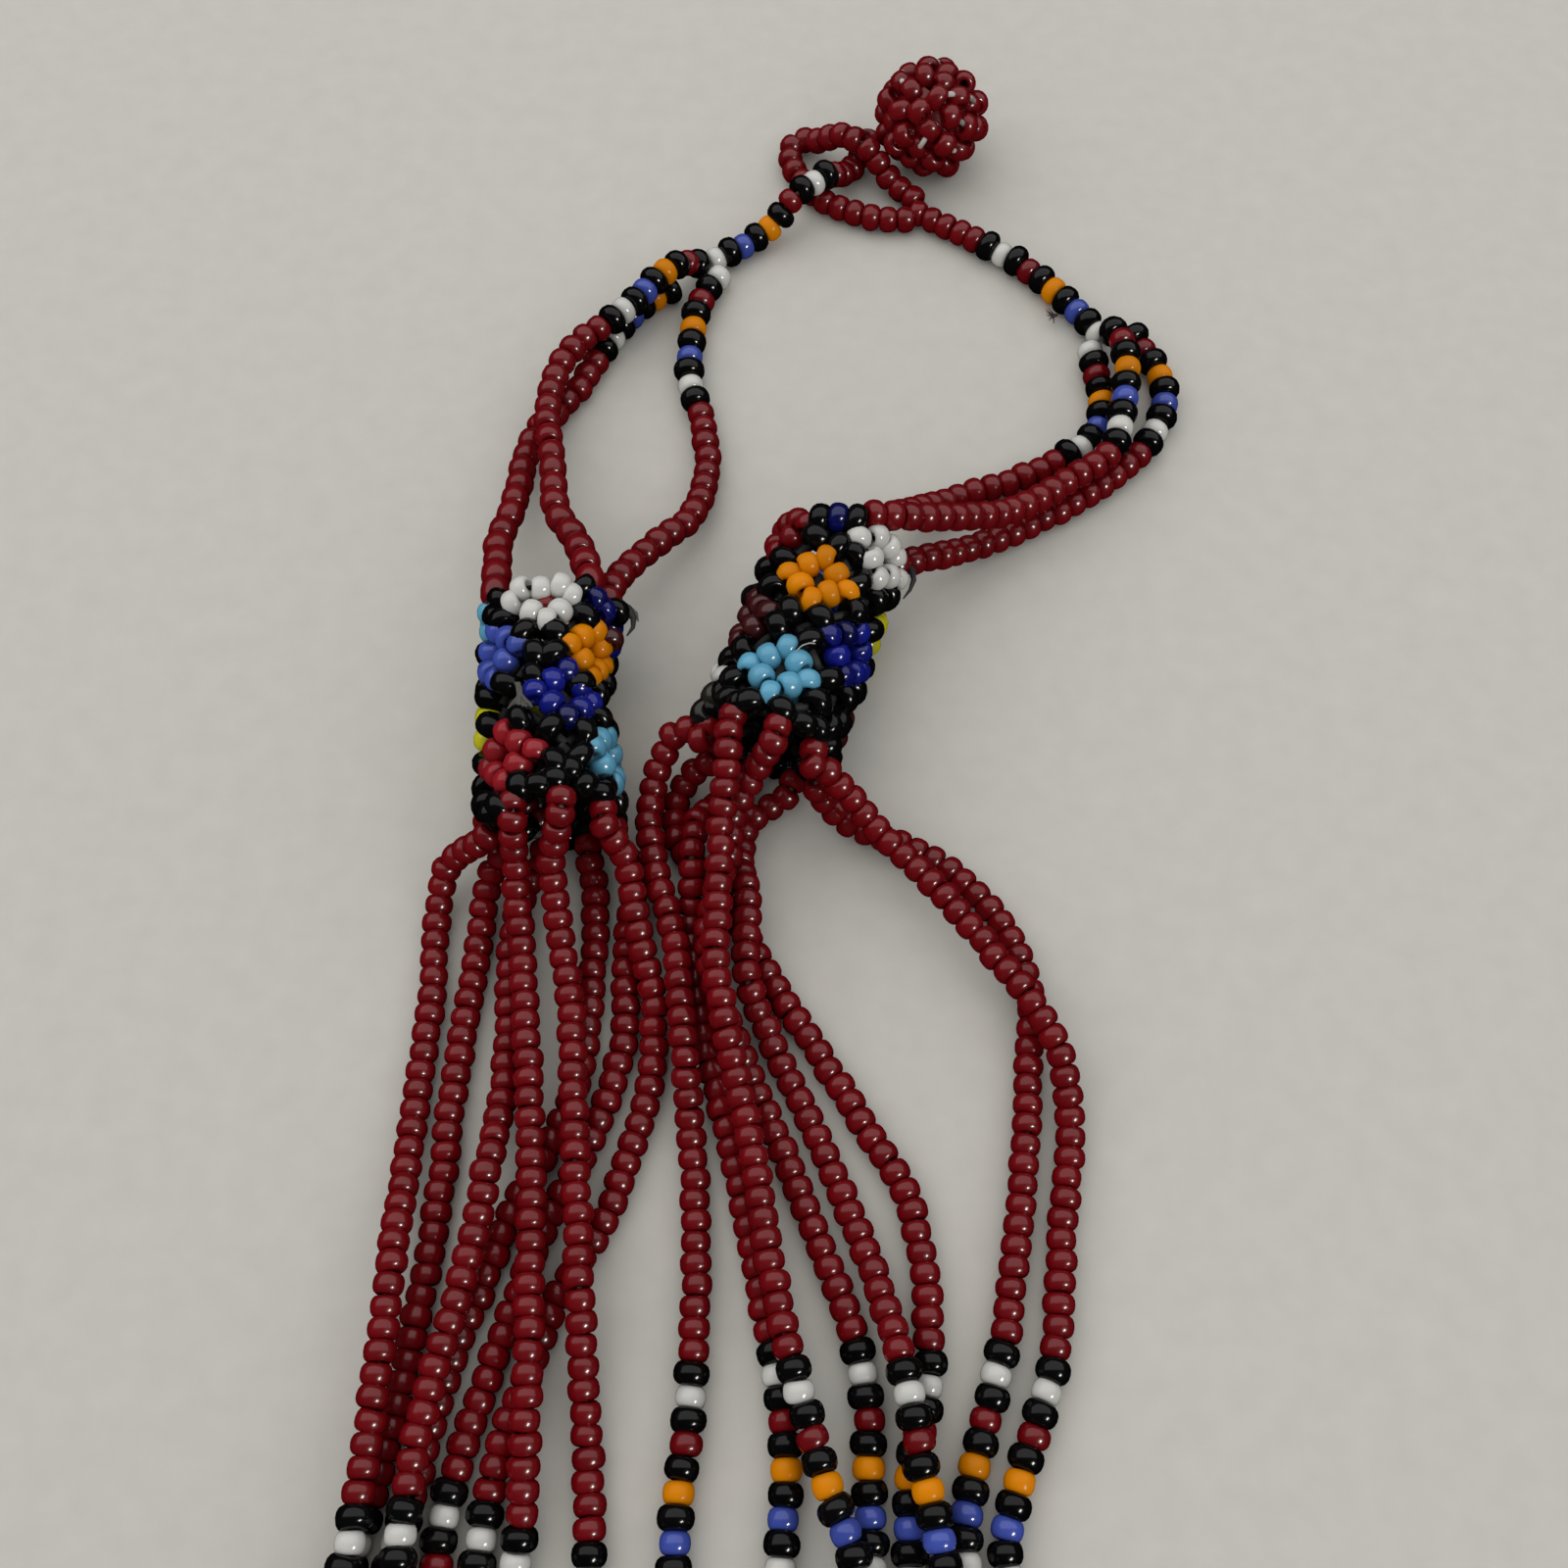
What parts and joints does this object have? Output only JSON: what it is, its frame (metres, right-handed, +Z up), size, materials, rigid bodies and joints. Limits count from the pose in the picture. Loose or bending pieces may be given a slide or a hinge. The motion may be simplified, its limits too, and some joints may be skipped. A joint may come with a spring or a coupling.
{
  "type": "seed bead necklace",
  "caption": "Multi-strand seed bead necklace lying open: red glass bead strands with coloured accents, two woven bead tubes, and a bead ball button through a bead loop.",
  "frame": {"origin": "middle of the footprint, on the surface that the necklace lies on", "axes": "+Z up from the surface; +Y from the front of the necklace to its clasp; +X to the right"},
  "size_m": [0.0896, 0.2452, 0.0148],
  "materials": {
    "red_glass_beads": "opaque gloss glass",
    "woven_glass_beads": "opaque gloss glass in several colours"
  },
  "bodies": {
    "root": {"ball_button": "red_glass_beads", "button_string": "red_glass_beads", "clasp_loop": "red_glass_beads", "right_string": "red_glass_beads", "neck_strand_left_1": "red_glass_beads", "neck_strand_left_2": "red_glass_beads", "neck_strand_left_3": "red_glass_beads", "neck_strand_right_1": "red_glass_beads", "neck_strand_right_2": "red_glass_beads", "neck_strand_right_3": "red_glass_beads", "woven_tube_left": "woven_glass_beads", "woven_tube_right": "woven_glass_beads", "front_strand_1": "red_glass_beads", "front_strand_2": "red_glass_beads", "front_strand_3": "red_glass_beads", "front_strand_4": "red_glass_beads", "front_strand_5": "red_glass_beads", "front_strand_6": "red_glass_beads", "front_strand_7": "red_glass_beads", "front_strand_8": "red_glass_beads"}
  },
  "joints": []
}
